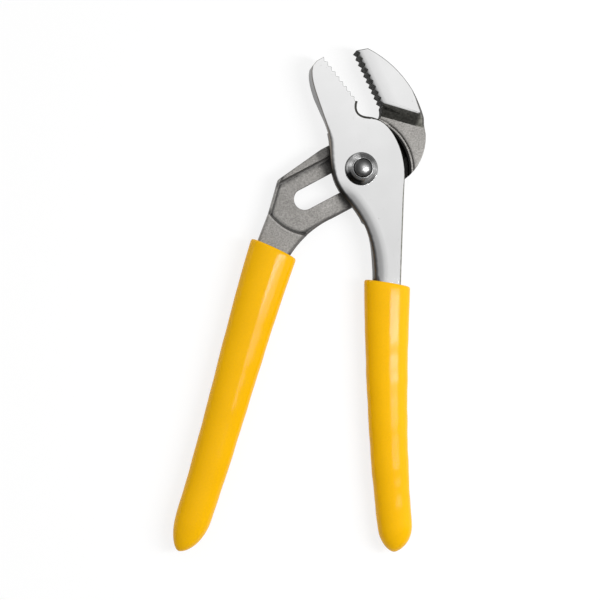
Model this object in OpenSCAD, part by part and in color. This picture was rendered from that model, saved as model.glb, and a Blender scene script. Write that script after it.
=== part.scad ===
// Slot-adjusted water pump pliers, lying on their back, jaws towards +Y.
// The pivot bolt's axis is the Z axis and the back of its head lies at Z = 0.
// The pliers rest half open, with the bolt at the jaw end of the slot.

/* [Pivot] */
// Diameter of the bolt where it runs in the slot and in the front lever
bolt_d = 9.75; // [9:0.25:12]
// Diameter of the stud that passes through the collar
stud_d = 8.4; // [7:0.1:9]
// Height of the domed end that stands out of the collar
dome_h = 2; // [0.6:0.1:3]
// Diameter of the bolt head behind the slotted lever
head_d = 19; // [17:0.5:23]
// Thickness of the bolt head
head_t = 3; // [2:0.25:5]
// Diameter of the round collar on the front
collar_d = 15.8; // [14:0.2:20]
// Height of the collar
collar_t = 4.2; // [2:0.2:6]
// Width of the collar's sloping rim
collar_slope = 3; // [1:0.1:3.4]

/* [Slot and grooves] */
// Tilt of the slot above the X axis
slot_angle = 28.2; // [24:0.2:32]
// Distance between the centres of the slot's round ends
slot_len = 30; // [29:0.5:36]
// Number of arc grooves, one for each jaw setting
groove_count = 6; // [3:1:6]
// Distance between neighbouring grooves
groove_pitch = 5.6; // [4.6:0.1:5.8]
// Mean radius of the tongue about the bolt
tongue_r = 19.5; // [18.5:0.1:20]
// Width of the tongue
tongue_w = 2.6; // [1.8:0.1:2.8]
// Angle that the tongue covers about the bolt
tongue_span = 16; // [10:1:18]

/* [Lever heights] */
// Full thickness of the jaws
lever_t = 11; // [10:0.25:14]
// Thickness of the slotted lever at its rim, jaw root and shank
parting_t = 6.6; // [6:0.1:7.2]
// Thickness of the slotted plate under its recess
floor_t = 4.6; // [4:0.1:5]
// Thickness left under the grooves
groove_floor_t = 3; // [2:0.1:3.4]
// Thickness of the front lever's shank
shank_t = 8; // [7:0.25:10]

/* [Slotted lever] */
// Width of the arm between the slot and the lower edge
lower_arm_w = 9.2; // [7.6:0.1:10]
// Width of the arm between the slot and the rim
upper_arm_w = 7.6; // [6.8:0.1:8]
// Width of the rim along the upper edge
rim_w = 4.6; // [3:0.1:6]
// Width of the thin rim along the left edge
side_rim_w = 0.9; // [0.6:0.1:1.6]
// Radius of the recess that clears the front lever beside the jaw
recess_r = 24.3; // [23.4:0.1:25]
// Width of the ledge around that recess
ledge_w = 2.1; // [1:0.1:2.6]
// Drop of that ledge below the jaw root
ledge_drop = 0.8; // [0.3:0.1:1.2]
// Width of the shank where it enters the grip
back_shank_w = 16.7; // [14:0.1:17.5]
// Radius of the sweep from the lower arm into the shank
sweep_r = 50; // [44:1:70]

/* [Jaws] */
// Distance from tooth to tooth
tooth_pitch = 2.95; // [2.6:0.05:3.1]
// Depth of the teeth
tooth_depth = 1.2; // [0.6:0.1:1.6]
// Number of teeth on the front lever's jaw
front_teeth = 9; // [7:1:9]
// Number of teeth on the slotted lever's jaw
back_teeth = 10; // [8:1:10]
// Direction of the front lever's row of teeth
front_jaw_angle = 127.9; // [125:0.1:131]
// Direction of the slotted lever's row of teeth
back_jaw_angle = 115.3; // [113:0.1:117]
// Radius of the slotted lever's jaw back
jaw_back_r = 52.4; // [48:0.2:60]
// Width of the slope between the jaw root and the jaw face
slope_w = 4; // [2:0.1:5]
// Radius of the hollow where the slotted lever's jaw meets its arm
throat_r = 4.5; // [4:0.1:5]

/* [Grips] */
// Length of the front lever's grip
front_grip_len = 128; // [115:0.5:140]
// Length of the slotted lever's grip
back_grip_len = 149; // [140:0.5:165]
// Width of the front grip at its mouth
front_grip_w = 22.6; // [20:0.1:23]
// Width of the back grip at its mouth
back_grip_w = 23.6; // [21:0.1:24]
// Width that both grips narrow towards along the middle
grip_mid_w = 18.6; // [16.5:0.1:19]
// Width of both grips just before the closed end
grip_end_w = 16.2; // [15:0.1:18]
// Thickness of the grips at the mouth
grip_t = 14.6; // [14:0.1:17]
// Thickness of the grips just before the closed end
grip_end_t = 13; // [12.4:0.1:15]
// Length of the back grip's closed end
back_grip_cap = 17; // [10:0.5:20]
// Length of the front grip's closed end
front_grip_cap = 12; // [8:0.5:16]
// How pointed the closed ends are, 1 being round
grip_taper = 1.2; // [1:0.05:1.4]
// Sideways lean of the closed ends, to the left
grip_lean = 1.6; // [0:0.1:3]
// Length of steel that stops short of the grip's end
tang_short = 16; // [12:1:40]
// Width of the steel tang in the grip
tang_w = 10.4; // [9:0.1:11.6]
// Width of the tang at its end
tang_end_w = 8; // [6:0.1:9]
// Thickness of the tang
tang_t = 8; // [6:0.1:8.4]
// Width of the front lever's shank where it enters the grip
front_shank_w = 12.8; // [11.8:0.1:15]

/* [Fits] */
// Gap between flat faces that slide on each other
run_gap = 0.2; // [0.1:0.05:0.4]
// Gap above the slotted lever's rim and under the front lever
lap_gap = 0.3; // [0.2:0.05:0.5]
// Gap on each side of the bolt in the slot
slot_gap = 0.2; // [0.1:0.05:0.3]
// Gap around the bolt in the front lever
bore_gap = 0.05; // [0.02:0.01:0.1]
// Gap on each side of the tongue in a groove
groove_gap = 0.25; // [0.15:0.05:0.4]
// Gap between the steel and the grip that is pushed over it
grip_gap = 0.05; // [0.02:0.01:0.1]

/* [Hidden] */
$fn = 64;
// Longer than any stretch of the pliers, for half planes and cuts
far = 400;
// Angles that the front lever turns from the half-open position
close_turn = 15.8;
open_turn = 26;
// Distance that the bolt slides, to the last groove
travel = (groove_count - 1) * groove_pitch;

// Heights, from the back of the bolt head upwards
z_back = head_t + run_gap;
z_groove = z_back + groove_floor_t;
z_floor = z_back + floor_t;
z_parting = z_back + parting_t;
z_lap = z_parting + lap_gap;
z_face = z_back + lever_t;
z_collar = z_face + run_gap;
z_mid = z_back + lever_t / 2;

// Directions and lines that the slot sets
along = dir(slot_angle);
across = dir(slot_angle + 90);
slot_w = bolt_d + 2 * slot_gap;
lower_edge = slot_w / 2 + lower_arm_w;
rim_wall = slot_w / 2 + upper_arm_w;
upper_edge = rim_wall + rim_w;
slot_end = -slot_len * along;
boss_r = rim_wall - lap_gap;
groove_r_in = tongue_r - tongue_w / 2 - groove_gap;
groove_r_out = tongue_r + tongue_w / 2 + groove_gap;
// Direction of the tongue's middle at rest, nearly in line with the slot
tongue_mid = slot_angle - 4;
// The tongue passes above this line while the bolt slides
relief_edge = groove_r_out * sin(tongue_span / 2 + 4) + groove_gap;
// Radius of the deeper round part of the recess
inner_r = recess_r - 4.3;
// Upper and lower ends of the plate's left edge
side_top = slot_end + in_slot(-6.8, upper_edge - 3.2);
side_low = slot_end + [-17.3, -7];
// Round step between the recess and the shank
step_r = 26;
step_centre = slot_end + [3.6, 8.4];

// Jaws: where each row of teeth starts at the throat
front_throat = [-1.5, 32.3];
back_throat = [10.4, 30];
front_tip = front_throat + front_teeth * tooth_pitch * dir(front_jaw_angle);
back_tip = back_throat + back_teeth * tooth_pitch * dir(back_jaw_angle);
jaw_top = back_tip + [5.7, 1.2];
heel_top = [32.4, 17.5];
heel_r = 26;
heel_low = in_slot(16.9, -lower_edge);
slope_foot = [19.6, 23.8];
slope_dir = -14.5;

// Grips: mouth, direction of the mouth's edge, start and end directions
back_mouth = slot_end + [-15, -24];
back_mouth_dir = -24.6;
back_start_dir = -108.5;
back_end_dir = -110;
back_chord_dir = -107.05;
front_mouth = [13.3, -54.4];
front_mouth_dir = -9;
// Middle of the front lever's shank at the mouth, left of the grip's middle
front_shank = front_mouth - 0.6 * dir(front_mouth_dir);
front_start_dir = -91;
front_end_dir = -83;
front_chord_dir = -87.95;
sweep_start = slot_end + in_slot(8.6, -lower_edge);
sweep_end = mouth_side(back_mouth, back_mouth_dir, back_shank_w);
sweep_centre = arc_centre(sweep_start, sweep_end, sweep_r);
back_path = grip_path(back_mouth, back_grip_len, back_chord_dir, back_start_dir, back_end_dir);
front_path = grip_path(front_mouth, front_grip_len, front_chord_dir, front_start_dir, front_end_dir);

function dir(a) = [cos(a), sin(a)];
function turn(p, a) = [p.x * cos(a) - p.y * sin(a), p.x * sin(a) + p.y * cos(a)];
function in_slot(u, v) = u * along + v * across;

// Point at t on the curve through four control points
function on_curve(c, t) = let (s = 1 - t)
    s * s * s * c[0] + 3 * s * s * t * c[1] + 3 * s * t * t * c[2] + t * t * t * c[3];
function heading(c, t) = let (s = 1 - t)
    let (v = s * s * (c[1] - c[0]) + 2 * s * t * (c[2] - c[1]) + t * t * (c[3] - c[2]))
    atan2(v.y, v.x);
function curve(c, n) = [for (i = [0:n]) on_curve(c, i / n)];

// Round stretch from p to q, with its centre to the left where r is above 0
function left_of(p, q) = [p.y - q.y, q.x - p.x] / norm(q - p);
function arc_centre(p, q, r) = let (half = norm(q - p) / 2)
    (p + q) / 2 + sign(r) * sqrt(r * r - half * half) * left_of(p, q);
function arc_to(p, q, r, n) =
    let (c = arc_centre(p, q, r), side = sign(r), swing = asin(norm(q - p) / 2 / abs(r)))
    [for (i = [0:n]) c + abs(r) * turn(-side * left_of(p, q), side * swing * (2 * i / n - 1))];

// Row of teeth from the throat to the tip, cut into the jaw on the given side
function tooth_row(start, a, count, side) =
    [for (i = [0:count - 1]) each [
        start + i * tooth_pitch * dir(a),
        start + (i + 0.4) * tooth_pitch * dir(a) + tooth_depth * dir(a + side * 90)]];

function grip_path(mouth, len, chord, start, end) =
    let (tip = mouth + len * dir(chord))
    [mouth, mouth + len / 3 * dir(start), tip - len / 3 * dir(end), tip];

function front_outline() = concat(
    tooth_row(front_throat, front_jaw_angle, front_teeth, 1),
    [front_tip, front_tip + [-3.4, -1.9]],
    curve([front_tip + [-5.6, -4.6], [-26, 40], [-15.2, 24], [-14.9, 10]], 12),
    curve([[-14.9, 10], [-14.6, 1], [-14.4, -6.2], [-8.3, -13.2]], 8),
    curve([[-8.3, -13.2], [0.6, -22.6], [6.8, -33.5],
        mouth_side(front_shank, front_mouth_dir, -front_shank_w)], 12),
    [mouth_side(front_shank, front_mouth_dir, front_shank_w)],
    curve([[21.1, -3], [21.2, 11], [13.5, 24.8], [3.6, 25.2]], 14),
    curve([[3.6, 25.2], [-0.5, 25.4], [-3, 27.4], front_throat], 8));

function mouth_side(mouth, a, w) = mouth + w / 2 * dir(a);

function back_outline() =
    let (root = back_throat + [0.2, -1.4])
    let (wall_u = (root.x + upper_edge * sin(slot_angle)) / cos(slot_angle))
    let (corner = in_slot(wall_u, upper_edge), cut = throat_r * tan((90 - slot_angle) / 2))
    concat(
        tooth_row(back_throat, back_jaw_angle, back_teeth, -1),
        [back_tip],
        arc_to(jaw_top, heel_top, -jaw_back_r, 14),
        arc_to(heel_top, heel_low, -heel_r, 8),
        arc_to(sweep_start, sweep_end, sweep_r, 10),
        [mouth_side(back_mouth, back_mouth_dir, -back_shank_w),
            side_low,
            side_top,
            in_slot(-12, upper_edge)],
        arc_to(corner - cut * along, corner + [0, cut], throat_r, 8),
        [root]);

// Flat region beyond a line, at a distance from the bolt in a direction
module beyond(distance, a) rotate(a) translate([distance, -far]) square([far, 2 * far]);

module between(z0, z1) translate([0, 0, z0]) linear_extrude(z1 - z0) children();

module ring_sector(r_in, r_out, a0, a1) {
    intersection() {
        difference() {
            circle(r_out);
            circle(r_in);
        }
        polygon([[0, 0], 2 * r_out * dir(a0), 2 * r_out * dir((a0 + a1) / 2), 2 * r_out * dir(a1)]);
    }
}

// Strip of the slot's width, or of another width, with round ends
module slot_shape(w) {
    circle(d = w);
    translate(slot_end) circle(d = w);
    rotate(slot_angle) translate([-slot_len, -w / 2]) square([slot_len, w]);
}

// Recess in which the front lever turns and slides
module recess_shape() {
    inward = left_of(side_top, side_low);
    difference() {
        union() {
            circle(recess_r);
            intersection() {
                translate(step_centre) circle(step_r);
                beyond(side_top * inward + side_rim_w, atan2(inward.y, inward.x));
            }
        }
        beyond(rim_wall, slot_angle + 90);
    }
}

// Ledge around the recess on the jaw's side
module ledge_shape() {
    difference() {
        circle(recess_r + ledge_w);
        circle(inner_r);
        beyond(0, slot_angle + 180);
        beyond(rim_wall, slot_angle + 90);
    }
}

// Deeper part of the recess, which lets the tongue pass above the slot
module relief_shape() {
    difference() {
        union() {
            circle(inner_r);
            intersection() {
                circle(recess_r);
                beyond(0, slot_angle);
            }
        }
        beyond(rim_wall - lap_gap, slot_angle + 90);
        beyond(relief_edge, slot_angle - 90);
    }
}

module grooves_shape() {
    reach = tongue_span / 2 + close_turn + 2.5;
    for (i = [0:groove_count - 1])
        translate(-i * groove_pitch * along)
            ring_sector(groove_r_in, groove_r_out, tongue_mid - reach, tongue_mid - 4);
}

// Wedge that lifts the jaw from its root to its full thickness, starting below the root's surface
module jaw_ramp() {
    low = [-slope_w / 2, z_parting - (z_face - z_parting) / 2];
    translate([slope_foot.x, slope_foot.y, 0])
        rotate([90, 0, slope_dir + 90])
            translate([0, 0, -far / 2])
                linear_extrude(far)
                    polygon([[low.x, z_back], low, [slope_w, z_face], [far, z_face], [far, z_back]]);
}

// Steel bar along a grip's path, grown by a gap on all sides where it is a cavity
module tang(path, mouth_dir, len, gap) {
    steps = 12;
    lead = 0.1;
    last = 1 - tang_short / len;
    function centre(t) = on_curve(path, t) - (t == 0 ? lead * dir(heading(path, 0)) : [0, 0]);
    function half_w(t) = (tang_w + (tang_end_w - tang_w) * t) / 2 + gap;
    function side_at(t) = t == 0 ? dir(mouth_dir) : dir(heading(path, t) + 90);
    left = [for (i = [0:steps]) let (t = last * i / steps) centre(t) - half_w(t) * side_at(t)];
    right = [for (i = [steps:-1:0]) let (t = last * i / steps) centre(t) + half_w(t) * side_at(t)];
    end = gap * dir(heading(path, last));
    tail = [left[steps] + end, right[0] + end];
    between(z_mid - tang_t / 2 - gap, z_mid + tang_t / 2 + gap)
        polygon(concat(left, gap > 0 ? tail : [], right));
}

// Oval sleeve along a grip's path, with a tapered closed end
module sleeve(path, mouth_dir, len, mouth_w, cap) {
    sides = 28;
    body_steps = 14;
    cap_steps = 7;
    last_tilt = 82;
    roundness = 2.5;
    settle = 0.12;
    body = 1 - cap / len;
    stations = concat(
        [for (i = [0:body_steps]) [body * i / body_steps, 1]],
        [for (i = [1:cap_steps]) let (b = last_tilt * i / cap_steps)
            [body + (1 - body) * sin(b), pow(cos(b), grip_taper)]]);
    function width(t) = (1 - t) * (1 - t) * mouth_w + 2 * t * (1 - t) * grip_mid_w + t * t * grip_end_w;
    function thick(t) = grip_t + (grip_end_t - grip_t) * t;
    function side_dir(t) = let (square_on = heading(path, t) + 90, k = min(1, t / settle))
        mouth_dir + (square_on - mouth_dir) * k;
    function bulge(x) = sign(x) * pow(abs(x), 2 / roundness);
    rings = [for (s = stations) let (t = s[0], d = dir(side_dir(t)))
        let (c = on_curve(path, t) - sign(d.x) * grip_lean * (1 - s[1]) * d)
        for (k = [0:sides - 1]) let (a = 360 * k / sides)
            let (w = width(t) / 2 * s[1] * bulge(cos(a)), h = thick(t) / 2 * s[1] * bulge(sin(a)))
                [c.x + w * d.x, c.y + w * d.y, z_mid + h]];
    count = len(stations);
    walls = [for (i = [0:count - 2], k = [0:sides - 1])
        let (a = i * sides + k, b = i * sides + (k + 1) % sides)
            each [[a, a + sides, b], [b, a + sides, b + sides]]];
    ends = [[for (k = [0:sides - 1]) k], [for (k = [sides - 1:-1:0]) (count - 1) * sides + k]];
    polyhedron(rings, concat(walls, ends));
}

module slotted_lever() color([0.6, 0.59, 0.57]) {
    difference() {
        union() {
            between(z_back, z_parting) polygon(back_outline());
            intersection() {
                between(z_back, z_face) polygon(back_outline());
                jaw_ramp();
            }
        }
        between(z_floor, z_parting + 1) recess_shape();
        between(z_parting - ledge_drop, z_parting + 1) ledge_shape();
        between(z_groove, z_floor + 1) relief_shape();
        between(z_groove, z_floor + 1) grooves_shape();
        between(z_back - 1, z_face) slot_shape(slot_w);
    }
    tang(back_path, back_mouth_dir, back_grip_len, 0);
}

module front_lever() color([0.88, 0.88, 0.87]) {
    jaw_clear = upper_edge + lap_gap;
    shank_clear = lower_edge + lap_gap;
    difference() {
        union() {
            between(z_lap, z_face) polygon(front_outline());
            between(z_back, z_face) intersection() {
                polygon(front_outline());
                beyond(jaw_clear, slot_angle + 90 + close_turn);
                beyond(jaw_clear, slot_angle + 90 - open_turn);
            }
            between(z_face - shank_t, z_face) intersection() {
                polygon(front_outline());
                beyond(shank_clear, slot_angle - 90 + close_turn);
                beyond(shank_clear, slot_angle - 90 - open_turn);
                rotate(close_turn) translate(sweep_centre + travel * along) circle(sweep_r - lap_gap);
            }
            between(z_floor + run_gap, z_lap) circle(boss_r);
            between(z_groove + run_gap, z_lap)
                ring_sector(tongue_r - tongue_w / 2, tongue_r + tongue_w / 2,
                    tongue_mid - tongue_span / 2, tongue_mid + tongue_span / 2);
            tang(front_path, front_mouth_dir, front_grip_len, 0);
        }
        translate([0, 0, z_back]) cylinder(d = bolt_d + 2 * bore_gap, h = lever_t + 1);
    }
}

module pivot_bolt() color([0.62, 0.62, 0.63]) {
    edge = 0.8;
    stud_top = z_collar + collar_t;
    sphere_r = (stud_d * stud_d / 4 + dome_h * dome_h) / (2 * dome_h);
    rotate_extrude()
        polygon([[0, 0], [head_d / 2 - edge, 0], [head_d / 2, edge], [head_d / 2, head_t], [0, head_t]]);
    translate([0, 0, head_t]) cylinder(d = bolt_d, h = z_collar - head_t);
    translate([0, 0, z_collar]) cylinder(d = stud_d, h = collar_t);
    intersection() {
        translate([0, 0, stud_top + dome_h - sphere_r]) sphere(sphere_r);
        translate([0, 0, stud_top]) cylinder(d = stud_d, h = 2 * dome_h);
    }
}

module lock_collar() color([0.7, 0.7, 0.71]) {
    foot = 0.8;
    rotate_extrude() polygon([
        [stud_d / 2 + bore_gap, z_collar],
        [collar_d / 2, z_collar],
        [collar_d / 2, z_collar + foot],
        [collar_d / 2 - collar_slope, z_collar + collar_t],
        [stud_d / 2 + bore_gap, z_collar + collar_t]]);
}

module back_grip() color([0.97, 0.73, 0.02]) {
    difference() {
        sleeve(back_path, back_mouth_dir, back_grip_len, back_grip_w, back_grip_cap);
        tang(back_path, back_mouth_dir, back_grip_len, grip_gap);
    }
}

module front_grip() color([0.97, 0.73, 0.02]) {
    difference() {
        sleeve(front_path, front_mouth_dir, front_grip_len, front_grip_w, front_grip_cap);
        tang(front_path, front_mouth_dir, front_grip_len, grip_gap);
    }
}

slotted_lever();
front_lever();
pivot_bolt();
lock_collar();
back_grip();
front_grip();
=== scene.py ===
"""Looks of a pair of slot-adjusted water pump pliers that lie half open on a pale floor."""
import math

import bmesh
import bpy
from mathutils import Matrix, Vector


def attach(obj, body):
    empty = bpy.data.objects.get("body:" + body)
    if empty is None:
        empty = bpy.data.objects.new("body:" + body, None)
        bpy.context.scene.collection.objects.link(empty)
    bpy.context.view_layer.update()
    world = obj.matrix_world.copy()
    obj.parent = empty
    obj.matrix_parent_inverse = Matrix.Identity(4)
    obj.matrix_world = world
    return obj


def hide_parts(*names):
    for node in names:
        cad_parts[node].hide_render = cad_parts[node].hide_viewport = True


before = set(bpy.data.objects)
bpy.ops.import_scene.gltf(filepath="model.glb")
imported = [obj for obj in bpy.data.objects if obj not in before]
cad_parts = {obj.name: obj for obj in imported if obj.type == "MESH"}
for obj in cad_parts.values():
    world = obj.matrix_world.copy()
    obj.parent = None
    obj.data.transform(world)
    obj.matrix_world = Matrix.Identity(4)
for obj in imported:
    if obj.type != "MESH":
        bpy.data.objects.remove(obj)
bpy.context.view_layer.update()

MM = 0.001

# Heights above the back of the bolt head, in millimetres
Z_BACK = 3.2  # backs of both levers
Z_SHANK = 6.2  # back of the front lever's shank
Z_FLOOR = 7.8  # floor of the recess
Z_MID = 8.7  # middle of both sleeves
Z_PARTING = 9.8  # front of the slotted plate
Z_LAP = 10.1  # back of the front lever where it laps over that plate
Z_FACE = 14.2  # polished faces
Z_COLLAR = 14.4  # foot of the collar
COLLAR_TOP = 18.6
DOME_TOP = 20.6
NEAR = 0.1  # an edge within this of a height counts as lying on it

# Radii about the bolt's axis, in millimetres
STUD_R = 4.2
BOLT_R = 4.88
COLLAR_R = 7.9
HEAD_R = 9.5

# Rows of teeth: start at the throat, direction in degrees, length
FRONT_TEETH = (Vector((-1.5, 32.3)), 127.9, 26.6)
BACK_TEETH = (Vector((10.4, 30.0)), 115.3, 29.5)

# Outer end of the slope beside the polished jaw, and the direction along it in degrees
SLOPE_END = Vector((27.2, 24))
SLOPE_DIR = -15

# Direction of the slot in degrees, and how far from its axis the plate's lower edge and the
# wall of the upper rim lie
SLOT_ANGLE = 28.2
LOWER_EDGE = 14.28
RIM_WALL = 12.68

# Round step between the recess and the back shank
STEP_CENTRE = Vector((-22.84, -5.78))
STEP_R = 26

# Centre of the round inner edge of the front shank
CROOK_CENTRE = Vector((-44.5, -49.2))

# Centre of the round lower edge of the slotted lever
BOW_CENTRE = Vector((8.53, -68.24))

# Rim at the left end of the recess: its upper corner, and the direction across it in degrees
SIDE_TOP = Vector((-39.08, -4.99))
SIDE_ANGLE = -16.05

# Middle of the highlight painted on the bolt's dome
DOME_GLEAM = Vector((0.9, -0.5))

# Middle of each sleeve's mouth, and the direction of its edge in degrees
FRONT_MOUTH = Vector((13.3, -54.4))
FRONT_MOUTH_DIR = -9
BACK_MOUTH = Vector((-41.42, -38.2))
BACK_MOUTH_DIR = -24.6

# Directions from the bolt in which the broad flats of each lever are cut, in degrees
FRONT_CUTS = (20, -35)
BACK_CUTS = (SLOT_ANGLE, SLOT_ANGLE + 180)

# Upward share of a normal above which a face counts as level
LEVEL = 0.999


def heading(degrees):
    """Unit vector in a direction of the plan."""
    return Vector((math.cos(math.radians(degrees)), math.sin(math.radians(degrees))))


def ease(value, low, high):
    """0 below low, 1 above high, and a smooth ramp between."""
    k = min(1.0, max(0.0, (value - low) / (high - low)))
    return k * k * (3 - 2 * k)


# Finishes


def grey(value, warm=0.0):
    return (value * (1 + warm), value, value * (1 - warm))


def fill_ramp(ramp, stops):
    """Set a colour ramp to stops of a position and a colour."""
    while len(ramp.elements) < len(stops):
        ramp.elements.new(0.5)
    for element, (position, colour) in zip(ramp.elements, stops):
        element.position = position
        element.color = (*colour, 1)


class Finish:
    """A procedural material on the piece's own coordinates."""

    def __init__(self, name, **sockets):
        self.material = bpy.data.materials.new(name)
        self.material.use_nodes = True
        self.nodes = self.material.node_tree.nodes
        self.links = self.material.node_tree.links
        self.surface = self.nodes["Principled BSDF"]
        self.place = self.nodes.new("ShaderNodeTexCoord").outputs["Object"]
        for socket, value in sockets.items():
            self.surface.inputs[socket.replace("_", " ")].default_value = value

    def join(self, source, target):
        """Link a source to a socket, or set the socket to a colour or a number."""
        if isinstance(source, tuple):
            target.default_value = (*source, 1)
        elif isinstance(source, (int, float)):
            target.default_value = source
        else:
            self.links.new(source, target)

    def grain(self, size, detail=3.0, stretch=(1, 1, 1), turn=0.0, rough=0.55):
        """Noise whose grains are about this many millimetres across."""
        mapping = self.nodes.new("ShaderNodeMapping")
        mapping.vector_type = "POINT"
        mapping.inputs["Rotation"].default_value = (0, 0, math.radians(turn))
        mapping.inputs["Scale"].default_value = stretch
        self.join(self.place, mapping.inputs["Vector"])
        noise = self.nodes.new("ShaderNodeTexNoise")
        noise.inputs["Scale"].default_value = 1000.0 / size
        noise.inputs["Detail"].default_value = detail
        noise.inputs["Roughness"].default_value = rough
        self.join(mapping.outputs["Vector"], noise.inputs["Vector"])
        return noise.outputs["Fac"]

    def vector(self, operation, first, second, output="Vector"):
        """One operation on a source and a fixed vector."""
        node = self.nodes.new("ShaderNodeVectorMath")
        node.operation = operation
        self.join(first, node.inputs[0])
        node.inputs[1].default_value = second
        return node.outputs[output]

    def distance(self, angle, start=Vector((0, 0))):
        """Distance from a start point in one direction of the plan, in metres."""
        offset = self.vector("SUBTRACT", self.place, start.to_3d() * MM)
        return self.vector("DOT_PRODUCT", offset, heading(angle).to_3d(), "Value")

    def radius(self, centre=Vector((0, 0))):
        """Distance from an upright axis, in metres."""
        offset = self.vector("SUBTRACT", self.place, centre.to_3d() * MM)
        flat = self.vector("MULTIPLY", offset, (1, 1, 0))
        return self.vector("LENGTH", flat, (0, 0, 0), "Value")

    def attribute(self, name):
        node = self.nodes.new("ShaderNodeAttribute")
        node.attribute_name = name
        return node.outputs["Fac"]

    def maths(self, operation, first, second):
        """One operation on two values."""
        node = self.nodes.new("ShaderNodeMath")
        node.operation = operation
        self.join(first, node.inputs[0])
        self.join(second, node.inputs[1])
        return node.outputs["Value"]

    def span(self, source, low, high, to_low=0.0, to_high=1.0):
        """The source from low to high, spread over another range."""
        node = self.nodes.new("ShaderNodeMapRange")
        node.inputs["From Min"].default_value = low
        node.inputs["From Max"].default_value = high
        node.inputs["To Min"].default_value = to_low
        node.inputs["To Max"].default_value = to_high
        self.join(source, node.inputs["Value"])
        return node.outputs["Result"]

    def uneven(self, source, low, high):
        """Noise from low to high, over the part of its range that it mostly keeps to."""
        return self.span(source, 0.3, 0.7, low, high)

    def shades(self, source, *stops):
        """Colours at places of the source from 0 to 1."""
        node = self.nodes.new("ShaderNodeValToRGB")
        fill_ramp(node.color_ramp, stops)
        self.join(source, node.inputs["Fac"])
        return node.outputs["Color"]

    def tones(self, source, *stops):
        """Greys at distances of the source, in millimetres."""
        low, high = stops[0][0], stops[-1][0]
        spread = self.span(source, low * MM, high * MM)
        greys = [((at - low) / (high - low), grey(tone)) for at, tone in stops]
        return self.shades(spread, *greys)

    def mix(self, blend, factor, first, second):
        """Two colours blended by a factor."""
        node = self.nodes.new("ShaderNodeMix")
        node.data_type = "RGBA"
        node.blend_type = blend
        self.join(factor, node.inputs["Factor"])
        self.join(first, node.inputs["A"])
        self.join(second, node.inputs["B"])
        return node.outputs["Result"]

    def times(self, first, *others):
        """First colour darkened or tinted by the others."""
        for other in others:
            first = self.mix("MULTIPLY", 1.0, first, other)
        return first

    def between(self, factor, first, second):
        """First where the factor is 0, second where it is 1."""
        return self.mix("MIX", factor, first, second)

    def colour(self, source):
        self.join(source, self.surface.inputs["Base Color"])

    def roughness(self, source):
        self.join(source, self.surface.inputs["Roughness"])

    def relief(self, source, height, strength):
        """Bumps of this height, in millimetres, one on top of another."""
        node = self.nodes.new("ShaderNodeBump")
        node.inputs["Strength"].default_value = strength
        node.inputs["Distance"].default_value = height * MM
        self.join(source, node.inputs["Height"])
        normal = self.surface.inputs["Normal"]
        if normal.is_linked:
            self.join(normal.links[0].from_socket, node.inputs["Normal"])
        self.join(node.outputs["Normal"], normal)


def bright_polish(f):
    """Colour of a polished face, with faint clouds and a few small pits."""
    cloud = f.shades(f.grain(22, 2), (0.3, grey(0.655)), (0.7, grey(0.7)))
    pits = f.shades(f.grain(1.1, 2), (0.27, grey(0.35, 0.05)), (0.315, grey(1)))
    where = f.shades(f.grain(9, 1), (0.5, grey(1)), (0.62, grey(0)))
    return f.times(cloud, f.between(where, pits, grey(1)))


def polish_lines(f, lean):
    """Fine polishing lines on a face, and a rougher skin where the surface leans."""
    stroke = 12  # degrees
    lines = f.uneven(f.grain(0.5, 3, (1, 0.05, 1), stroke), 0.05, 0.08)
    f.roughness(f.between(f.span(lean, 0.05, 0.4), lines, grey(0.4)))
    f.relief(f.grain(0.4, 2, (1, 0.04, 1), stroke), 0.004, 0.25)
    f.relief(f.grain(14, 1), 0.05, 0.12)


def polished_forging():
    """Face polished bright, its edges rolling off in painted shade to the dark forged walls, which
    carry painted shade of their own along their length.
    """
    f = Finish("polished_forging", Metallic=1.0)
    lean = f.attribute("lean")
    speck = f.shades(f.grain(1.4, 3), (0.3, grey(0.8)), (0.7, grey(1.15)))
    # Dark forged walls with painted shade: darkest along the shank and where the lever passes over
    # the plate, lighter up the jaw
    wall = f.shades(f.span(f.distance(90), -0.045, 0.045),
                    (0.0, (0.05, 0.046, 0.041)), (0.39, (0.035, 0.034, 0.031)),
                    (0.59, grey(0.03)), (0.68, grey(0.07)), (0.79, grey(0.15)), (0.95, grey(0.22)))
    # Painted shade where the polished face rolls off towards the walls
    roll_off_shade = f.shades(lean, (0.0, grey(1)), (0.02, grey(0.85)), (0.1, grey(0.55)),
                    (0.3, (0.42, 0.38, 0.34)), (0.6, (0.3, 0.26, 0.22)))
    # Painted shade along the round inner edge of the shank below the bolt, fading across the face
    crook_shade = f.tones(f.radius(CROOK_CENTRE), (52.2, 0.42), (53.6, 0.44), (54.6, 0.54),
                    (55.6, 0.76), (56.4, 0.87), (57.8, 1))
    low = f.tones(f.distance(-90), (5, 0), (13, 1))
    # Painted shadow on the leaning edges where the lever passes over the plate
    plate_shadow = f.tones(f.distance(-90), (-6, 1), (1, 0.3), (12, 0.25), (18, 1))
    leaning = f.between(f.span(lean, 0.005, 0.06), grey(1), plate_shadow)
    rolled = f.times(bright_polish(f), roll_off_shade, f.between(low, grey(1), crook_shade), leaning)
    f.colour(f.between(f.span(lean, 0.7, 0.95), rolled, f.times(wall, speck)))
    polish_lines(f, lean)
    return f.material


def polished_jaw():
    """Polished jaw face, with painted shade where it rolls off at the teeth and a dark painted
    shade down its slope.
    """
    f = Finish("polished_jaw", Metallic=1.0)
    lean = f.attribute("lean")
    start, angle, _ = BACK_TEETH
    # Painted shade where the face rolls off towards the teeth
    painted_shading = f.tones(f.distance(angle - 90, start), (0.5, 0.2), (1.0, 0.4), (1.6, 0.68),
                   (3.0, 0.87), (5.0, 0.93), (8.0, 1.0))
    # Dark colour where the face leans down its slope, a painted shade
    dark = f.shades(f.grain(1.2, 3), (0.3, (0.045, 0.045, 0.04)), (0.7, (0.09, 0.088, 0.08)))
    f.colour(f.between(f.span(lean, 0.015, 0.14), f.times(bright_polish(f), painted_shading), dark))
    polish_lines(f, lean)
    return f.material


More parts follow.
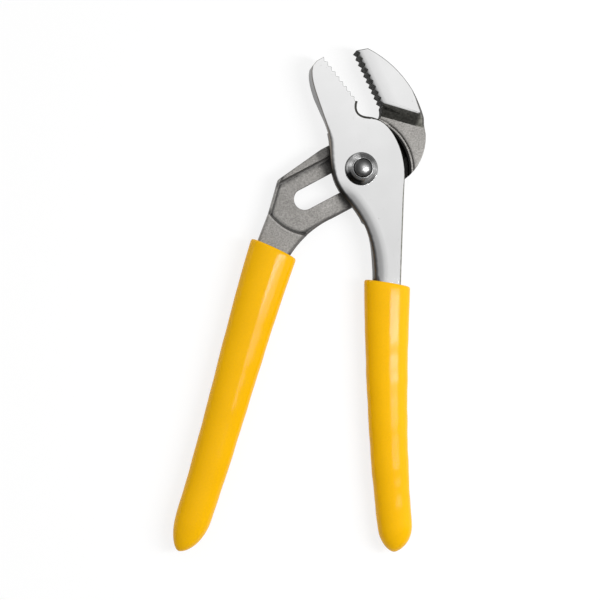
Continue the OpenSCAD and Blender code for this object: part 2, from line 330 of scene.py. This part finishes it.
def dark_flank():
    """Dark forged skin, also standing as painted shade on teeth, walls, slopes and the edges of
    polished faces; painted light at the slope's outer end, and lighter lower down on the front
    shank's edge.
    """
    f = Finish("dark_flank", Metallic=0.0, Specular_IOR_Level=0.1)
    skin = f.shades(f.grain(1.2, 3), (0.3, (0.02, 0.02, 0.017)), (0.7, (0.058, 0.057, 0.051)))
    # Painted light at the slope's outer end, where the slope turns round the corner
    slope_end = f.tones(f.distance(SLOPE_DIR, SLOPE_END), (0, 1), (0.9, 2.2), (2.0, 5.5))
    beside_jaw = f.tones(f.distance(90), (14, 0), (16, 1))
    # Lighter below the jaws, easing the painted shade on the front shank's right edge
    shank_edge = f.tones(f.distance(-90), (-2, 1), (10, 5))
    f.colour(f.times(skin, f.between(beside_jaw, shank_edge, slope_end)))
    f.roughness(f.uneven(f.grain(2, 2), 0.5, 0.68))
    f.relief(f.grain(0.9, 3), 0.04, 0.3)
    return f.material


def blasted_steel():
    """Blasted grey forging, with painted shade in its corners, along its rims and lower edges and
    round the boss, a painted shadow where the front lever covers it, and painted highlights on the
    ridge beside the boss and on the step.
    """
    f = Finish("blasted_steel", Metallic=0.5)
    broad = f.shades(f.grain(11, 2),
                     (0.25, (0.215, 0.207, 0.195)), (0.75, (0.268, 0.259, 0.246)))
    fine = f.shades(f.grain(0.75, 3, rough=0.7),
                    (0.28, grey(0.55, 0.01)), (0.5, grey(0.98)), (0.72, grey(1.35)))
    along, across = f.distance(SLOT_ANGLE), f.distance(SLOT_ANGLE + 90)
    jaw_side = f.tones(along, (11, 0), (14, 1))
    from_step = f.radius(STEP_CENTRE)
    # Painted shade at the foot of the upper rim's wall, and the rim's top a little darker
    rim = f.tones(across, (9.8, 1), (11.0, 0.62), (11.8, 0.36), (12.6, 0.34), (12.8, 0.65),
                  (13.1, 0.92), (17, 0.85))
    # Painted shade at the foot of the rim at the left end of the recess
    side = f.tones(f.distance(SIDE_ANGLE, SIDE_TOP),
                   (0.8, 1), (1.0, 0.22), (1.7, 0.27), (2.2, 0.8), (2.8, 1))
    # Painted shade on the rounded lower edge of the plate
    edge = f.tones(across, (-14.4, 0.2), (-13.4, 0.3), (-12.9, 0.75), (-12.4, 1))
    # Painted shade along the round lower edge of the lever
    bow = f.tones(f.radius(BOW_CENTRE), (50.0, 0.22), (51.0, 0.32), (51.6, 0.75), (52.2, 1))
    beyond_step = f.tones(from_step, (25.8, 0), (26.2, 1))
    # Painted shadow where the front lever covers the plate
    painted_lever_shadow = f.tones(along, (-16.4, 1), (-14.4, 0.4), (10, 0.4))
    inside = f.between(beyond_step, f.times(side, edge), grey(1))
    plate = f.between(jaw_side, f.times(rim, painted_lever_shadow, inside, bow), grey(1))
    # Painted shade round the boss deepening to a black painted shadow, a painted highlight on the
    # ridge beyond, then a dark painted line at its foot
    gap = f.tones(f.radius(), (16.5, 0.4), (20.5, 0.08), (21.5, 0.04), (25.25, 0.04),
                  (25.55, 0.6), (25.85, 1.3), (26.3, 1.25), (26.5, 0.5), (26.75, 0.42),
                  (27.0, 0.55), (27.3, 0.95), (28.5, 1.12))
    beside_boss = f.between(jaw_side, grey(1), gap)
    # Painted shade on the recess side of the round step, with a painted highlight on its edge
    step = f.tones(from_step, (23.4, 1), (24.4, 0.6), (24.9, 0.28), (26.0, 0.2), (26.2, 1.0),
                   (26.5, 1.3), (27.0, 1.1), (27.4, 0.9), (28.2, 1))
    f.colour(f.times(broad, fine, plate, beside_boss, step))
    # Specular follows the painted shade round the boss, so the painted shadow there does not shine
    f.join(f.span(beside_boss, 0, 1, 0, 0.5), f.surface.inputs["Specular IOR Level"])
    f.roughness(f.uneven(f.grain(0.8, 2), 0.44, 0.62))
    f.relief(f.grain(0.6, 3, rough=0.65), 0.06, 0.5)
    f.relief(f.grain(6, 2), 0.1, 0.2)
    return f.material


def crevice_steel():
    """The blasted forging where little light reaches it."""
    f = Finish("crevice_steel", Metallic=0.5)
    fine = f.grain(0.9, 3, rough=0.7)
    f.colour(f.shades(fine, (0.3, grey(0.06, 0.04)), (0.7, grey(0.14, 0.04))))
    f.roughness(f.uneven(f.grain(0.8, 2), 0.44, 0.6))
    f.relief(f.grain(0.6, 3), 0.06, 0.5)
    return f.material


def turned_rings(f, width, smoothest, roughest):
    """Fine lathe rings about the bolt's axis, about this many millimetres wide."""
    rings = f.nodes.new("ShaderNodeTexNoise")
    rings.noise_dimensions = "1D"
    rings.inputs["Scale"].default_value = 1000.0 / width
    rings.inputs["Detail"].default_value = 3
    f.join(f.radius(), rings.inputs["W"])
    f.roughness(f.uneven(f.grain(1.5, 3), smoothest, roughest))
    f.relief(rings.outputs["Fac"], 0.02, 0.3)
    return f.shades(rings.outputs["Fac"], (0.3, grey(0.75)), (0.65, grey(1.1)))


def bolt_steel():
    """Turned steel, with a painted highlight in the middle of the dome and painted shade round it.
    """
    f = Finish("bolt_steel", Metallic=1.0)
    smear = f.shades(f.grain(3.0, 2), (0.3, grey(0.3)), (0.7, grey(0.42)))
    # Painted highlight round the dome's gleam point, fading to painted shade at the dome's edge
    painted_shading = f.tones(f.radius(DOME_GLEAM), (0, 1.15), (1.1, 1.0), (1.9, 0.65), (2.7, 0.4),
                   (3.4, 0.28), (5.0, 0.25), (5.8, 1.0))
    f.colour(f.times(smear, painted_shading, turned_rings(f, 0.35, 0.3, 0.42)))
    return f.material


def collar_chrome():
    """Turned chrome with painted reflections that change round the axis in fans, a painted shadow
    crescent on its outer part, and painted shade at its inner lip and outer edge.
    """
    f = Finish("collar_chrome", Metallic=1.0)
    around = f.nodes.new("ShaderNodeTexGradient")
    around.gradient_type = "RADIAL"
    f.join(f.place, around.inputs["Vector"])
    # Painted reflections, brighter and darker round the axis
    reflection_fans = f.shades(around.outputs["Fac"],
                    (0.0, grey(0.45)), (0.05, grey(0.32)), (0.11, grey(0.22)), (0.2, grey(0.24)),
                    (0.3, grey(0.34)), (0.4, grey(0.34)), (0.47, grey(0.5)), (0.5, grey(0.7)),
                    (0.54, grey(0.7)), (0.6, grey(0.25)), (0.68, grey(0.2)), (0.77, grey(0.32)),
                    (0.795, grey(0.8)), (0.83, grey(1.0)), (0.855, grey(0.45)), (0.9, grey(0.28)),
                    (0.93, grey(0.38)), (0.95, grey(0.5)), (0.98, grey(0.48)), (1.0, grey(0.45)))
    # Painted shadow crescent on the lower left of the collar's outer part
    crescent = f.shades(around.outputs["Fac"], (0.01, grey(1)), (0.06, grey(0.05)),
                        (0.23, grey(0.05)), (0.28, grey(0.9)))
    foot = f.tones(f.radius(), (5.6, 0), (6.1, 1))
    shadow = f.between(foot, grey(1), crescent)
    # Painted shade at the inner lip and the outer edge
    border = f.tones(f.radius(), (4.2, 0.5), (5.1, 0.55), (5.3, 1), (7.5, 1), (7.75, 0.4))
    f.colour(f.times(reflection_fans, shadow, border, turned_rings(f, 0.45, 0.2, 0.3)))
    return f.material


def yellow_vinyl():
    """Glossy moulded vinyl, faintly uneven."""
    f = Finish("yellow_vinyl", IOR=1.5, Specular_IOR_Level=0.15,
               Specular_Tint=(1.0, 0.66, 0.85, 1))
    broad = f.shades(f.grain(30, 2), (0.25, (0.79, 0.412, 0.0005)), (0.75, (0.84, 0.446, 0.0006)))
    dust = f.shades(f.grain(0.9, 3), (0.3, grey(0.95)), (0.7, grey(1.0)))
    f.colour(f.times(broad, dust))
    f.roughness(f.uneven(f.grain(5, 3), 0.1, 0.16))
    f.relief(f.grain(7, 1), 0.08, 0.2)
    f.relief(f.grain(0.8, 2), 0.006, 0.25)
    return f.material


POLISHED = polished_forging()
JAW = polished_jaw()
FLANK = dark_flank()
BLASTED = blasted_steel()
CREVICE = crevice_steel()
BOLT = bolt_steel()
CHROME = collar_chrome()
VINYL = yellow_vinyl()


# Pieces


def piece(name, bm, body, node, materials):
    """A finished mesh as a shown piece that stands for a node of the frame."""
    mesh = bpy.data.meshes.new(name)
    bm.to_mesh(mesh)
    bm.free()
    for material in materials:
        mesh.materials.append(material)
    obj = bpy.data.objects.new(name, mesh)
    bpy.context.scene.collection.objects.link(obj)
    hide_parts(node)
    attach(obj, body)
    return obj


def smooth(obj, sharp_from):
    """Smooth shading, sharp from an angle in degrees, with the flats kept flat."""
    for polygon in obj.data.polygons:
        polygon.use_smooth = True
    obj.data.set_sharp_from_angle(angle=math.radians(sharp_from))
    flat = obj.modifiers.new("flat_faces", "WEIGHTED_NORMAL")
    flat.weight = 100
    flat.keep_sharp = True


def cut_by(bm, geom, point, normal):
    """Cut part of a mesh along a plane, and return what lies on the cut."""
    return bmesh.ops.bisect_plane(bm, geom=geom, dist=1e-6, plane_co=point,
                                  plane_no=normal)["geom_cut"]


def forging(node, cut_angles):
    """Copy of a lever, merged, each flat in one piece between two cuts out from the bolt."""
    merge, flat_angle = 0.18 * MM, math.radians(0.5)
    bm = bmesh.new()
    bm.from_mesh(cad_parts[node].data)
    bmesh.ops.remove_doubles(bm, verts=bm.verts, dist=merge)
    for angle in cut_angles:
        outward = heading(angle).to_3d()
        cut_by(bm, bm.verts[:] + bm.edges[:] + bm.faces[:], (0, 0, 0), outward)
        side = [face for face in bm.faces if face.calc_center_median().dot(outward) > 0]
        edges = {edge for face in side for edge in face.edges}
        verts = {vert for face in side for vert in face.verts}
        across = heading(angle + 90).to_3d()
        for part in cut_by(bm, list(verts) + list(edges) + side, (0, 0, 0), across):
            if isinstance(part, bmesh.types.BMEdge):
                part.seam = True
    bmesh.ops.dissolve_limit(bm, angle_limit=flat_angle, verts=bm.verts, edges=bm.edges,
                             use_dissolve_boundaries=False, delimit={"SEAM"})
    return bm


def rounded(bm, rounding):
    """The mesh with every edge rounded to its own radius at each end, in millimetres."""
    widest, finest_growth, least_angle = 4.0, 0.06, math.radians(14)
    weight = bm.edges.layers.float.new("bevel_weight_edge")
    for edge in list(bm.edges):
        if edge.calc_face_angle(0) < least_angle:
            continue
        vert, last = edge.verts
        first_place, last_place = vert.co.copy(), last.co.copy()
        radius = rounding(edge, first_place.xy / MM)
        last_radius = rounding(edge, last_place.xy / MM)
        parts = 1 + math.ceil(abs(last_radius - radius) / finest_growth)
        growth = (last_radius - radius) / max(1, parts - 1)
        for k in range(1, parts):
            fresh, middle_vert = bmesh.utils.edge_split(edge, vert, 0.5)
            middle_vert.co = first_place.lerp(last_place, k / parts)
            done, edge = (edge, fresh) if vert in edge.verts else (fresh, edge)
            done[weight] = radius / widest
            vert = middle_vert
            radius += growth
        edge[weight] = radius / widest
    mesh = bpy.data.meshes.new("rounding")
    bm.to_mesh(mesh)
    bm.free()
    holder = bpy.data.objects.new("rounding", mesh)
    bpy.context.scene.collection.objects.link(holder)
    bevel = holder.modifiers.new("rounding", "BEVEL")
    bevel.width = widest * MM
    bevel.limit_method = "WEIGHT"
    bevel.segments = 6
    bevel.profile = 0.5
    bevel.use_clamp_overlap = False
    bevel.miter_outer = "MITER_ARC"
    result = bmesh.new()
    result.from_object(holder, bpy.context.evaluated_depsgraph_get())
    bpy.data.objects.remove(holder)
    bpy.data.meshes.remove(mesh)
    return result


def in_tiles(bm):
    """Cut long faces into tiles, so that the shading of each edge stays near it."""
    step, off_corners, merge = 3.0, 0.37, 0.004 * MM
    bmesh.ops.triangulate(bm, faces=bm.faces)
    corners = [vert.co / MM for vert in bm.verts]
    for axis in (0, 1):
        low, high = min(c[axis] for c in corners), max(c[axis] for c in corners)
        for k in range(math.ceil(low / step), math.floor(high / step) + 1):
            point, normal = Vector((0, 0, 0)), Vector((0, 0, 0))
            point[axis] = (k * step + off_corners) * MM
            normal[axis] = 1
            cut_by(bm, bm.verts[:] + bm.edges[:] + bm.faces[:], point, normal)
    bmesh.ops.remove_doubles(bm, verts=bm.verts, dist=merge)
    bmesh.ops.dissolve_degenerate(bm, edges=bm.edges, dist=merge)


def mark_lean(bm):
    """Store how far each corner of the surface leans: 0 is level and 1 upright."""
    bm.normal_update()
    lean = bm.loops.layers.float.new("lean")
    for face in bm.faces:
        level = face.normal.z > LEVEL
        for corner in face.loops:
            corner[lean] = 0.0 if level else 1 - abs(corner.vert.normal.z)


def dressed_forging(node, bm, finishes, finish_at, name, body):
    """A lever's rounded mesh as a piece, each face with its own finish."""
    in_tiles(bm)
    mark_lean(bm)
    for face in bm.faces:
        finish = finish_at(face.calc_center_median() / MM, face.normal)
        face.material_index = finishes.index(finish)
    smooth(piece(name, bm, body, node, finishes), sharp_from=32)


def on_teeth(point, row, depth=1.6):
    """True on a row of teeth, as deep as this from its line, in millimetres."""
    start, angle, length = row
    offset = point - start
    along, across = offset.dot(heading(angle)), offset.dot(heading(angle + 90))
    return -0.4 < along < length + 0.3 and abs(across) < depth


def at_mouth(point, mouth, mouth_dir):
    """True on the line where a shank goes into its sleeve, and beyond it."""
    return (point - mouth).dot(heading(mouth_dir - 90)) > -0.4


def middle(edge):
    """Middle of an edge, in millimetres."""
    return (edge.verts[0].co + edge.verts[1].co) / (2 * MM)


def upright(edge):
    low, high = sorted(vert.co.z for vert in edge.verts)
    return (edge.verts[0].co.xy - edge.verts[1].co.xy).length < 0.2 * (high - low)


def front_rounding(edge, at):
    """Radius of an edge of the front lever at a place along it, in millimetres."""
    tooth, thick_end, jaw_back, shank_back, plain = 0.14, 0.8, 0.7, 1.2, 0.2
    left_jaw, left_growth = 0.55, 1.5
    right, throat_growth, shank_growth = 0.3, 1.0, 0.45
    m = middle(edge)
    spot = m.xy
    in_bore = spot.length < 6
    if in_bore or at_mouth(spot, FRONT_MOUTH, FRONT_MOUTH_DIR):
        return 0
    if on_teeth(spot, FRONT_TEETH):
        return tooth
    normals = [face.normal for face in edge.link_faces]
    top = any(n.z > 0.99 for n in normals)
    wall = min(normals, key=lambda n: abs(n.z))
    if m.z > Z_FACE - NEAR and top:
        if wall.x < -0.15 and spot.y < 50:
            return left_jaw + left_growth * ease(-at.y, -24, -12)
        throat = ease(at.y, 20, 26) * ease(-at.x, -13, -3) if spot.y < 36 else 0
        shank = ease(-at.y, 0, 14) if wall.x > 0.15 else 0
        return right + throat_growth * throat + shank_growth * shank
    below_jaw = spot.x < -9 and 14 < spot.y < 22
    above_shank = spot.x < 6 and spot.y < -15
    if upright(edge) and m.z < Z_LAP and (below_jaw or above_shank):
        return thick_end
    if m.z < Z_BACK + NEAR and spot.y > 0:
        return jaw_back
    if m.z < Z_SHANK + NEAR and spot.y < -15:
        return shank_back
    return plain


def drafted(bm):
    """The left wall of the front lever leans in at both ends of its full thickness."""
    shank_lean, jaw_lean = 1.5, 1.6
    bm.normal_update()
    for vert in bm.verts:
        x, y, z = vert.co / MM
        on_left = any(face.normal.x < -0.3 and abs(face.normal.z) < 0.1
                      for face in vert.link_faces)
        if on_left and z < Z_LAP - 1:
            if -60 < y < -20:
                vert.co.x += shank_lean * MM * ease(y, -46, -26)
            elif 14 < y < 36 and x < -8:
                vert.co.x += jaw_lean * MM * ease(-y, -36, -18)
    return bm


def front_finish(c, n):
    """Finish of a face of the front lever, from its centre in millimetres and its normal."""
    # The dark flank on the throat and right edges of the polished face, and on the teeth, is
    # painted shade
    throat = 24 < c.y < 34 and c.x < 8 and n.x + n.y > 0.01
    right_edge = n.x > 0.01 and n.z > 0.3 and c.y < 26
    dark = throat or right_edge or on_teeth(c.xy, FRONT_TEETH, 1.25)
    return FLANK if n.z < LEVEL and dark else POLISHED


def front_lever():
    bm = rounded(drafted(forging("front_lever", FRONT_CUTS)), front_rounding)
    dressed_forging("front_lever", bm, [POLISHED, FLANK], front_finish,
                    "polished_lever", "front_half")


def back_rounding(edge, at):
    """Radius of an edge of the slotted lever at a place along it, in millimetres."""
    tooth, slope_foot, jaw_side, back, plain = 0.14, 1.6, 0.4, 0.5, 0.15
    slope_top, slope_loss, jaw_top, jaw_growth = 2.0, 0.4, 0.45, 1.15
    rim_top, side_rim, shank_top, plate_top = 0.5, 0.3, 1.0, 0.5
    lower_edge, recess_foot, recess_plain = 1.6, 1.4, 0.35
    m = middle(edge)
    spot = m.xy
    if at_mouth(spot, BACK_MOUTH, BACK_MOUTH_DIR):
        return 0
    if on_teeth(spot, BACK_TEETH):
        return tooth
    if m.z > Z_FACE - NEAR:
        if any(0.4 < face.normal.z < 0.95 for face in edge.link_faces):
            return slope_top - slope_loss * ease(at.x, 20, 29.5)
        return jaw_top + jaw_growth * ease(at.x, 25, 29.5)
    if m.z > Z_PARTING + 2 * NEAR:
        return slope_foot if spot.x > 22 else jaw_side
    across = spot.dot(heading(SLOT_ANGLE + 90))
    on_rim = abs(across - RIM_WALL) < 0.3
    on_step = abs((spot - STEP_CENTRE).length - STEP_R) < 0.4
    if m.z > Z_PARTING - NEAR:
        if on_rim or on_step:
            return rim_top
        if spot.x < -33 and spot.y > -21.5:
            return side_rim
        return shank_top if spot.y < -15 else plate_top
    if abs(m.z - Z_FLOOR) < NEAR:
        tops = sum(face.normal.z > 0.99 for face in edge.link_faces)
        if across < -LOWER_EDGE + 0.5 and tops == 1:
            return lower_edge
        return recess_foot if on_rim or on_step else recess_plain
    return back if m.z < Z_BACK + NEAR else plain


def back_finish(c, n):
    """Finish of a face of the slotted lever, from its centre in millimetres and its normal."""
    leaning = n.z < 0.985
    on_jaw = c.z > Z_PARTING + 0.05
    outer_wall = c.y > 0 and abs(n.z) < 0.5 and n.x > -0.3 and n.x + n.y > 0.3
    if outer_wall:
        return BLASTED
    # Crevice steel on the jaw's outer slope is painted shade
    outer_slope = on_jaw and c.x > 26 and n.x > 0.2 and leaning
    if outer_slope:
        return CREVICE
    # The dark flank on the teeth, the jaw root's wall and the jaw's leaning faces is dark forged
    # skin and painted shade
    tooth = on_teeth(c.xy, BACK_TEETH, 1.3) and n.z < 0.6
    root_wall = c.x < 13 and 20 < c.y < 31 and n.x < -0.3
    if tooth or root_wall or on_jaw and leaning:
        return FLANK
    if on_jaw:
        return JAW
    # Crevice steel on the recess walls and the lower edge is painted shade
    in_recess = Z_FLOOR < c.z < Z_PARTING - 0.4 and n.z < 0.9 and n.x > -0.35
    lower_edge = c.y < 5 and n.y < -0.1 and leaning
    return CREVICE if c.x < 0 and (in_recess or lower_edge) else BLASTED


def slotted_lever():
    bm = rounded(forging("slotted_lever", BACK_CUTS), back_rounding)
    dressed_forging("slotted_lever", bm, [BLASTED, JAW, FLANK, CREVICE], back_finish,
                    "blasted_lever", "slotted_half")


def turned(profile, corners):
    """(radius, height) points in millimetres, some rounded, spun about the bolt's axis."""
    bm = bmesh.new()
    points = [bm.verts.new((r * MM, 0, z * MM)) for r, z in profile]
    for a, b in zip(points, points[1:]):
        bm.edges.new((a, b))
    for index, radius in corners:
        bmesh.ops.bevel(bm, geom=[points[index]], offset=radius * MM, segments=5, profile=0.5,
                        affect="VERTICES", material=-1, clamp_overlap=True)
    bmesh.ops.spin(bm, geom=bm.verts[:] + bm.edges[:], cent=(0, 0, 0), axis=(0, 0, 1),
                   angle=math.tau, steps=96, use_merge=True, use_duplicate=False)
    bmesh.ops.remove_doubles(bm, verts=bm.verts, dist=1e-6)
    bmesh.ops.recalc_face_normals(bm, faces=bm.faces)
    return bm


def pivot_bolt():
    head_top = 3.0
    rise = DOME_TOP - COLLAR_TOP
    dome = [(STUD_R * math.cos(a), COLLAR_TOP + rise * math.sin(a))
            for a in (math.radians(10 * k) for k in range(9))]
    profile = [(0, 0.25), (3.2, 0.05), (9.0, 0), (HEAD_R, 0.9), (HEAD_R, head_top),
               (BOLT_R, head_top), (BOLT_R, Z_COLLAR), (STUD_R, Z_COLLAR)] + dome + [(0, DOME_TOP)]
    bm = turned(profile, [(2, 0.5), (3, 0.4), (4, 0.3), (6, 0.15)])
    obj = piece("domed_bolt", bm, "pivot", "pivot_bolt", [BOLT])
    smooth(obj, sharp_from=40)


def lock_collar():
    bore = STUD_R + 0.1
    profile = [(bore, Z_COLLAR), (COLLAR_R, Z_COLLAR), (COLLAR_R, Z_COLLAR + 0.8), (7.1, 16.4),
               (5.1, COLLAR_TOP), (4.5, COLLAR_TOP), (bore, COLLAR_TOP - 0.3), (bore, Z_COLLAR)]
    bm = turned(profile, [(1, 0.15), (2, 0.4), (3, 0.8), (4, 0.2), (5, 0.12)])
    obj = piece("cone_collar", bm, "pivot", "lock_collar", [CHROME])
    smooth(obj, sharp_from=40)


def on_path(path, t):
    """Point of a four-point curve at a share of its way."""
    s = 1 - t
    return s ** 3 * path[0] + 3 * s * s * t * path[1] + 3 * s * t * t * path[2] + t ** 3 * path[3]


def path_heading(path, t):
    """Direction of that curve in degrees."""
    s = 1 - t
    d = s * s * (path[1] - path[0]) + 2 * s * t * (path[2] - path[1]) + t * t * (path[3] - path[2])
    return math.degrees(math.atan2(d.y, d.x))


def sleeve(name, node, body, mouth, mouth_dir, length, mouth_width, start_dir, end_dir,
           chord_dir, cap, ripple):
    """Vinyl sleeve along its path: one ring, extruded from the mouth to the tip."""
    mid_width, end_width, mouth_thick, end_thick = 18.6, 16.2, 14.6, 13.0
    lean, taper, square_from = 1.6, 1.2, 0.12
    lip_end, body_rings, cap_rings, cap_turn, sides = 0.008, 60, 14, 86, 64
    tip = mouth + length * heading(chord_dir)
    path = [mouth, mouth + length / 3 * heading(start_dir),
            tip - length / 3 * heading(end_dir), tip]
    body_end = 1 - cap / length

    def place(t, size, inset, turn):
        """Point of the skin: share of the way, size of the ring, inset and turn round it."""
        swing = path_heading(path, t) + 90 - mouth_dir
        side = heading(mouth_dir + swing * min(1, t / square_from))
        width = (1 - t) ** 2 * mouth_width + 2 * t * (1 - t) * mid_width + t * t * end_width
        thick = mouth_thick + (end_thick - mouth_thick) * t
        c, s = math.cos(turn), math.sin(turn)
        wave = ripple * ease(t, 0.05, 0.3) * size * (
            math.sin(38 * t + 0.6) + 0.6 * math.sin(83 * t + 2 * c + 1.1)
            + 0.4 * math.sin(21 * t - 1.7 * s))
        w = (width / 2 - inset + wave) * size * c
        h = (thick / 2 - inset + wave) * size * s
        centre = on_path(path, t) - math.copysign(lean * (1 - size), side.x) * side
        return Vector((centre.x + w * side.x, centre.y + w * side.y, Z_MID + h)) * MM

    # Rings from inside the lip to the tip: share of the way, size, inset in millimetres
    stations = [(0.012, 1, 3.2), (0.0, 1, 2.6), (-0.0015, 1, 1.9), (-0.0015, 1, 1.1),
                (0.0, 1, 0.45), (0.0035, 1, 0.12), (lip_end, 1, 0)]
    stations += [(lip_end + (body_end - lip_end) * k / body_rings, 1, 0)
                 for k in range(1, body_rings + 1)]
    for k in range(1, cap_rings + 1):
        b = math.radians(cap_turn * k / cap_rings)
        stations.append((body_end + (1 - body_end) * math.sin(b), math.cos(b) ** taper, 0))

    bm = bmesh.new()
    angle = bm.verts.layers.float.new("turn")
    bmesh.ops.create_circle(bm, segments=sides, radius=1)
    bm.verts.ensure_lookup_table()
    for vert in bm.verts:
        vert[angle] = math.atan2(vert.co.y, vert.co.x)
    ring = list(bm.verts)
    edges = list(bm.edges)
    for vert in ring:
        vert.co = place(*stations[0], vert[angle])
    bmesh.ops.contextual_create(bm, geom=edges)
    for station in stations[1:]:
        grown = bmesh.ops.extrude_edge_only(bm, edges=edges)["geom"]
        ring = [g for g in grown if isinstance(g, bmesh.types.BMVert)]
        fresh = set(ring)
        edges = [g for g in grown if isinstance(g, bmesh.types.BMEdge) and set(g.verts) <= fresh]
        for vert in ring:
            vert.co = place(*station, vert[angle])
    end = sum((vert.co for vert in ring), Vector()) / sides
    bmesh.ops.contextual_create(bm, geom=edges)
    cap_face = [face for face in bm.faces
                if len(face.verts) == sides and (face.calc_center_median() - end).length < 1e-4]
    bmesh.ops.poke(bm, faces=cap_face)
    bmesh.ops.recalc_face_normals(bm, faces=bm.faces)
    obj = piece(name, bm, body, node, [VINYL])
    smooth(obj, sharp_from=60)


front_lever()
slotted_lever()
pivot_bolt()
lock_collar()
sleeve("left_sleeve", "back_grip", "slotted_half", BACK_MOUTH, BACK_MOUTH_DIR,
       length=149, mouth_width=23.6, start_dir=-108.5, end_dir=-110, chord_dir=-107.05,
       cap=17, ripple=0.05)
sleeve("right_sleeve", "front_grip", "front_half", FRONT_MOUTH, FRONT_MOUTH_DIR,
       length=128, mouth_width=22.6, start_dir=-91, end_dir=-83, chord_dir=-87.95,
       cap=12, ripple=0.07)


# Floor, light and camera


def pale_floor():
    """Floor just below the bolt head that glows a little to the camera and in reflections."""
    half_width, drop, glow_share = 6, 0.0004, 0.8
    bm = bmesh.new()
    bmesh.ops.create_grid(bm, x_segments=1, y_segments=1, size=half_width)
    bmesh.ops.translate(bm, verts=bm.verts, vec=(0, 0, -drop))
    mesh = bpy.data.meshes.new("pale_floor")
    bm.to_mesh(mesh)
    bm.free()
    f = Finish("pale_floor", Roughness=0.9, Specular_IOR_Level=0.0)
    f.colour(f.shades(f.grain(400, 2), (0.3, grey(0.955)), (0.7, grey(0.97))))
    rays = f.nodes.new("ShaderNodeLightPath").outputs
    seen = f.maths("MAXIMUM", rays["Is Camera Ray"], rays["Is Glossy Ray"])
    seen = f.maths("MAXIMUM", seen, rays["Is Transmission Ray"])
    glow = f.nodes.new("ShaderNodeEmission")
    glow.inputs["Color"].default_value = (1, 1, 1, 1)
    glow.inputs["Strength"].default_value = 1.0
    mix = f.nodes.new("ShaderNodeMixShader")
    f.join(f.maths("MULTIPLY", seen, glow_share), mix.inputs["Fac"])
    f.join(f.surface.outputs["BSDF"], mix.inputs[1])
    f.join(glow.outputs["Emission"], mix.inputs[2])
    f.join(mix.outputs["Shader"], f.nodes["Material Output"].inputs["Surface"])
    mesh.materials.append(f.material)
    obj = bpy.data.objects.new("pale_floor", mesh)
    bpy.context.scene.collection.objects.link(obj)


def studio_sky():
    """Sky that is brightest in one direction, high above the jaws."""
    brightest = Vector((0.18, 0.4, 0.9)).normalized()
    stops = [(0.0, 0.3), (0.35, 0.36), (0.65, 0.5), (0.86, 0.76), (0.94, 0.92), (0.978, 1.14),
             (1.0, 1.2)]
    world = bpy.data.worlds.new("studio_sky")
    bpy.context.scene.world = world
    world.use_nodes = True
    nodes, links = world.node_tree.nodes, world.node_tree.links
    place = nodes.new("ShaderNodeTexCoord")
    toward = nodes.new("ShaderNodeVectorMath")
    toward.operation = "DOT_PRODUCT"
    toward.inputs[1].default_value = brightest
    links.new(place.outputs["Generated"], toward.inputs[0])
    ramp = nodes.new("ShaderNodeValToRGB")
    fill_ramp(ramp.color_ramp, [(position, grey(value)) for position, value in stops])
    links.new(toward.outputs["Value"], ramp.inputs["Fac"])
    links.new(ramp.outputs["Color"], nodes["Background"].inputs["Color"])
    nodes["Background"].inputs["Strength"].default_value = 1.08


def softbox(name, place, aim, width, height, power):
    """Rectangular lamp, in metres and watts."""
    data = bpy.data.lights.new(name, "AREA")
    data.shape = "RECTANGLE"
    data.size = width
    data.size_y = height
    data.energy = power
    obj = bpy.data.objects.new(name, data)
    obj.location = place
    obj.rotation_euler = (Vector(aim) - Vector(place)).to_track_quat("-Z", "Y").to_euler()
    bpy.context.scene.collection.objects.link(obj)


def camera():
    eye = Vector((-0.11819, -0.08471, 0.70719))
    aim = Vector((-0.02955, -0.06255, 0.014))
    roll = math.radians(0.1268)
    focal_px, picture_px, sensor = 1480.33, 600, 36
    data = bpy.data.cameras.new("camera")
    data.sensor_width = sensor
    data.lens = focal_px / picture_px * sensor
    data.clip_start = 0.01
    data.clip_end = 50
    obj = bpy.data.objects.new("camera", data)
    ahead = (aim - eye).normalized()
    right = ahead.cross(Vector((math.sin(roll), math.cos(roll), 0))).normalized()
    up = right.cross(ahead)
    facing = Matrix((right, up, -ahead)).transposed()
    obj.matrix_world = Matrix.Translation(eye) @ facing.to_4x4()
    bpy.context.scene.collection.objects.link(obj)
    bpy.context.scene.camera = obj


pale_floor()
studio_sky()
softbox("right_box", place=(0.3142, -0.075, 0.5436), aim=(0.016, -0.075, 0),
        width=0.06, height=0.373, power=1.85)
softbox("right_box_end", place=(0.3142, -0.155, 0.5436), aim=(0.016, -0.155, 0),
        width=0.1, height=0.373, power=0.75)
softbox("right_wall", place=(1.0, -0.1, 0.4), aim=(0.0, -0.06, 0),
        width=0.5, height=0.7, power=0.8)
softbox("left_strip", place=(-0.67, 0.6, 0.12), aim=(0.0, 0.0, 0.015),
        width=0.92, height=0.2, power=0.95)
camera()
bpy.context.scene.view_settings.view_transform = "Standard"
